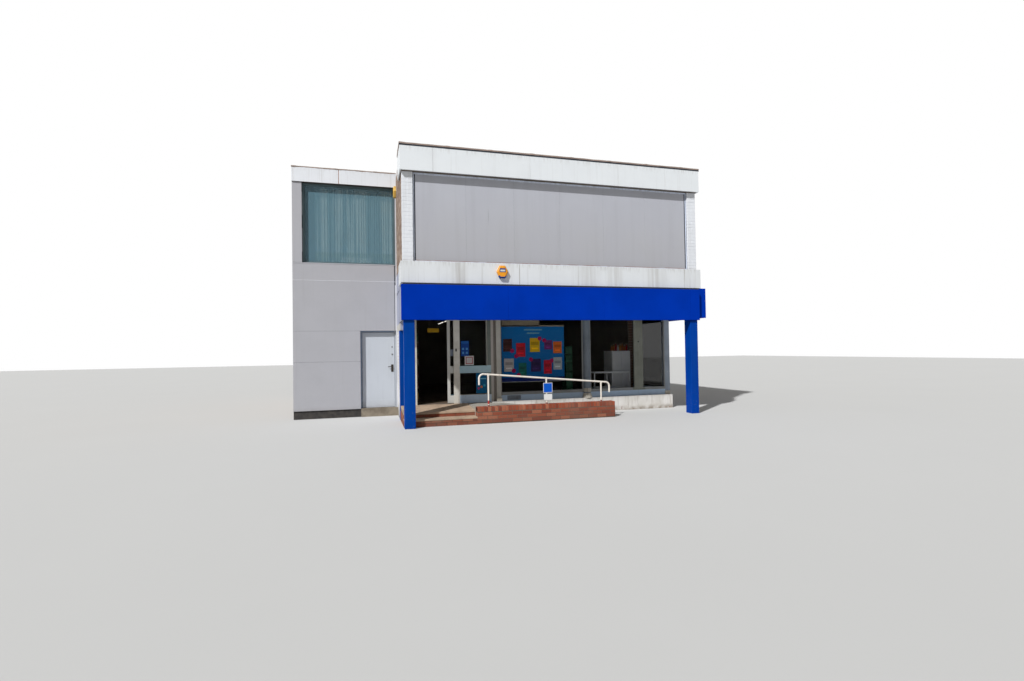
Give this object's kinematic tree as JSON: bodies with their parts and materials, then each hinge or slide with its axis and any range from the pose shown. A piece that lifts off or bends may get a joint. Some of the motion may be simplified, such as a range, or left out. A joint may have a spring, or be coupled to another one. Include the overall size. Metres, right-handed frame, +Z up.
{
  "type": "corner shop building",
  "caption": "Flat-roofed corner shop building with a recessed glazed shopfront under a sign band, sliding entrance door, ramp with handrail and a set-back side wing",
  "frame": {"origin": "middle of the building's bounding box, on the ground", "axes": "+X along the street front to the right, +Y into the building, +Z up"},
  "size_m": [10.26, 9.337, 6.45],
  "materials": {
    "concrete": "matt",
    "roof_felt": "matt",
    "coping_felt": "matt",
    "blue_paint": "satin",
    "brick": "matt",
    "white_paint": "satin",
    "grey_panel": "satin",
    "beam": "matt",
    "grey_cladding": "satin",
    "sign_blue": "gloss",
    "plaster": "matt",
    "shop_frame": "satin",
    "glass": "clear",
    "riser_paint": "satin",
    "track_metal": "satin",
    "step_stone": "matt",
    "red_brick": "matt",
    "rail_paint": "gloss",
    "dark_base": "matt",
    "door_paint": "satin",
    "handle_metal": "satin",
    "window_frame": "satin",
    "net": "matt",
    "alarm_plastic": "matt",
    "banner": "matt"
  },
  "bodies": {
    "building": {"floor_slabs": "concrete", "roof_slabs": "roof_felt", "roof_copings": "coping_felt", "left_blue_pier": "blue_paint", "left_side_wall": "brick", "right_side_wall": "brick", "rear_walls": "brick", "front_upper_wall": "plaster", "front_upper_piers": "white_paint", "front_grey_panel": "grey_panel", "top_fascia": "white_paint", "mid_fascia": "white_paint", "canopy_beam": "beam", "canopy_soffit": "white_paint", "canopy_left_cheek": "grey_cladding", "shop_sign_front": "sign_blue", "shop_sign_side": "sign_blue", "shopfront_bulkhead": "plaster", "shopfront_frame": "shop_frame", "shopfront_posts": "shop_frame", "fixed_side_screen": "shop_frame", "shop_glass": "glass", "window_riser_panel": "riser_paint", "shop_plinth": "white_paint", "sliding_door_track": "track_metal", "corner_column": "blue_paint", "entrance_steps": "step_stone", "entrance_ramp": "concrete", "ramp_wall": "red_brick", "ramp_handrail": "rail_paint", "wing_side_wall": "brick", "wing_wall_beside_door": "grey_cladding", "wing_wall_over_door": "grey_cladding", "wing_fascia": "white_paint", "wing_base": "dark_base", "wing_door_frame": "grey_cladding", "window_frames": "window_frame", "window_glass": "glass", "wing_curtain": "net", "alarm_boxes": "alarm_plastic", "display_banner": "banner"},
    "sliding_door": {"sliding_door_leaf": "shop_frame", "sliding_door_glass": "glass"},
    "wing_door": {"wing_door_leaf": "door_paint", "wing_door_handles": "handle_metal"}
  },
  "joints": [
    {"name": "sliding_door_slide", "type": "slide", "parent": "building", "child": "sliding_door", "axis": [-1, 0, 0], "range_m": [0, 0.75]},
    {"name": "wing_door_hinge", "type": "hinge", "parent": "building", "child": "wing_door", "pos_m": [-3.447, -1.8575, 0.215], "axis": [0, 0, 1], "range_deg": [0, 90]}
  ]
}
